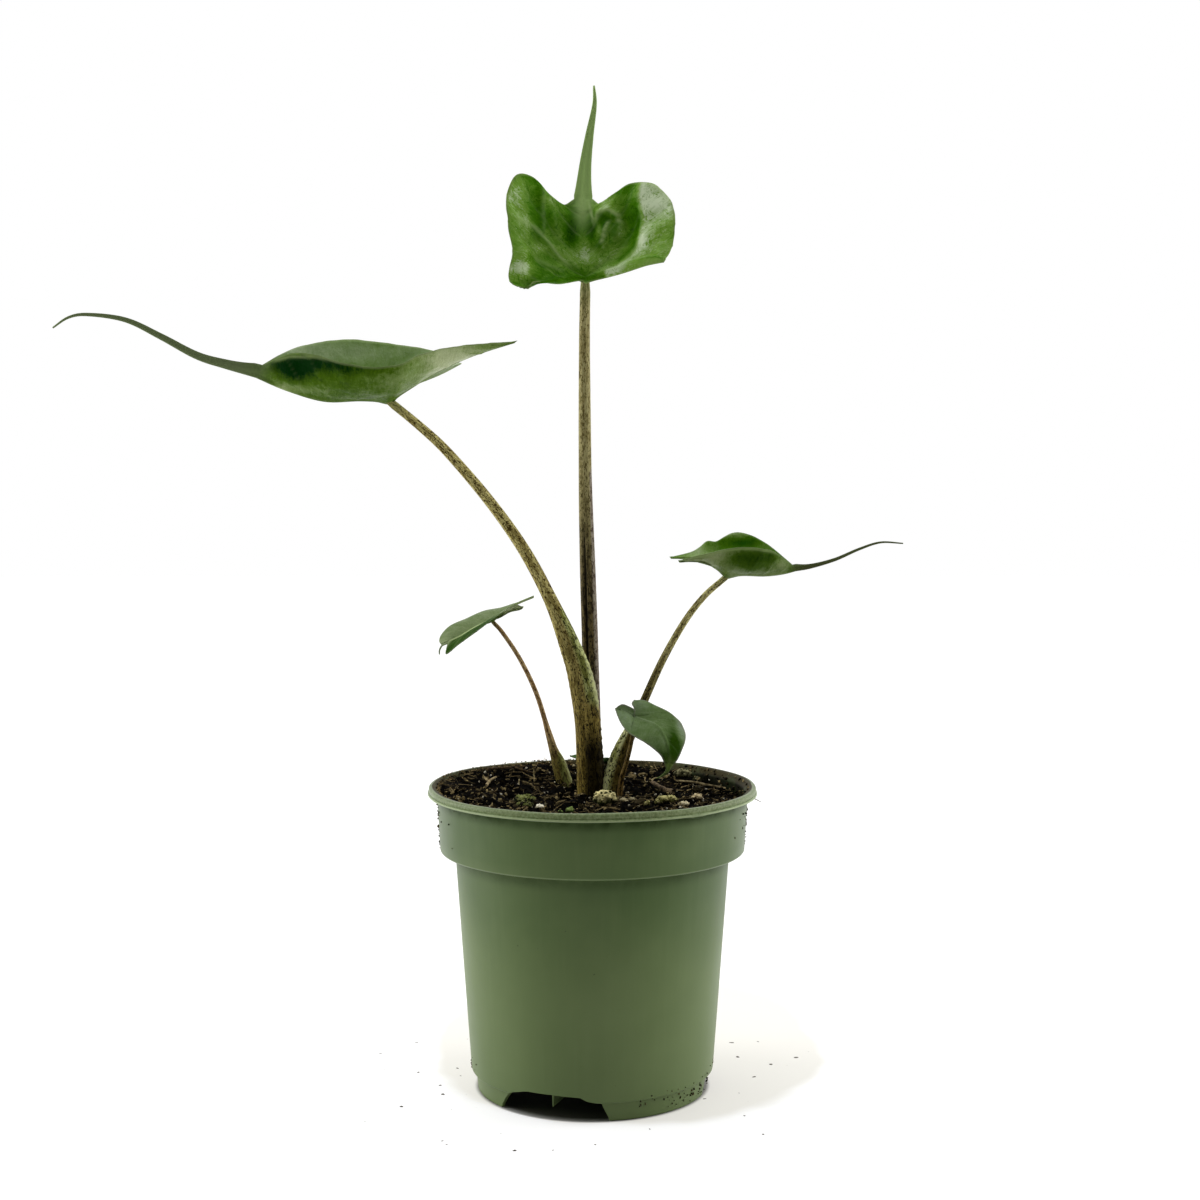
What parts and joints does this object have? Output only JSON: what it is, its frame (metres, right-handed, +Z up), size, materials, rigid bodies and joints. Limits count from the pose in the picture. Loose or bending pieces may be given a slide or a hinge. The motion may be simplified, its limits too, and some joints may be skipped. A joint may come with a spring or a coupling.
{
  "type": "potted alocasia",
  "caption": "Young stingray alocasia with long-tailed, boat-folded leaves on arching mottled stems, standing in soil in a round green nursery pot.",
  "frame": {"origin": "on the pot's axis at the level of the floor that it stands on, in the flat underside of the pot's centre hub", "axes": "+Z up, -Y towards the front of the plant, +X to the right as seen from the front"},
  "size_m": [0.3084, 0.12, 0.3681],
  "materials": {
    "pot": "muted green moulded plastic, slightly glossy, with faint vertical flow marks",
    "soil": "dark crumbly peat and bark fibre",
    "stem": "smooth olive skin with dark brown streaks and mottling, paler at the sheaths",
    "leaf": "glossy leathery green with paler veins and rim, matter and paler below",
    "crumb": "dry crumbly yellow-cream lump with green algae",
    "moss": "matt green moss over fibre",
    "perlite": "matt porous off-white grain",
    "bark": "dull brown bark"
  },
  "bodies": {
    "root": {"pot": "pot", "soil": "soil", "top_stem": "stem", "left_stem": "stem", "right_stem": "stem", "small_left_stem": "stem", "small_front_stem": "stem", "back_stem": "stem", "top_leaf": "leaf", "left_leaf": "leaf", "right_leaf": "leaf", "small_left_leaf": "leaf", "small_front_leaf": "leaf", "back_leaf": "leaf", "crumb_clump": "crumb", "lichen_chip": "crumb", "moss_clump": "moss", "root_knot": "moss", "perlite_grain": "perlite", "cream_chip": "perlite", "bark_curl": "bark", "twig_left": "bark", "twig_right": "bark"}
  },
  "joints": []
}
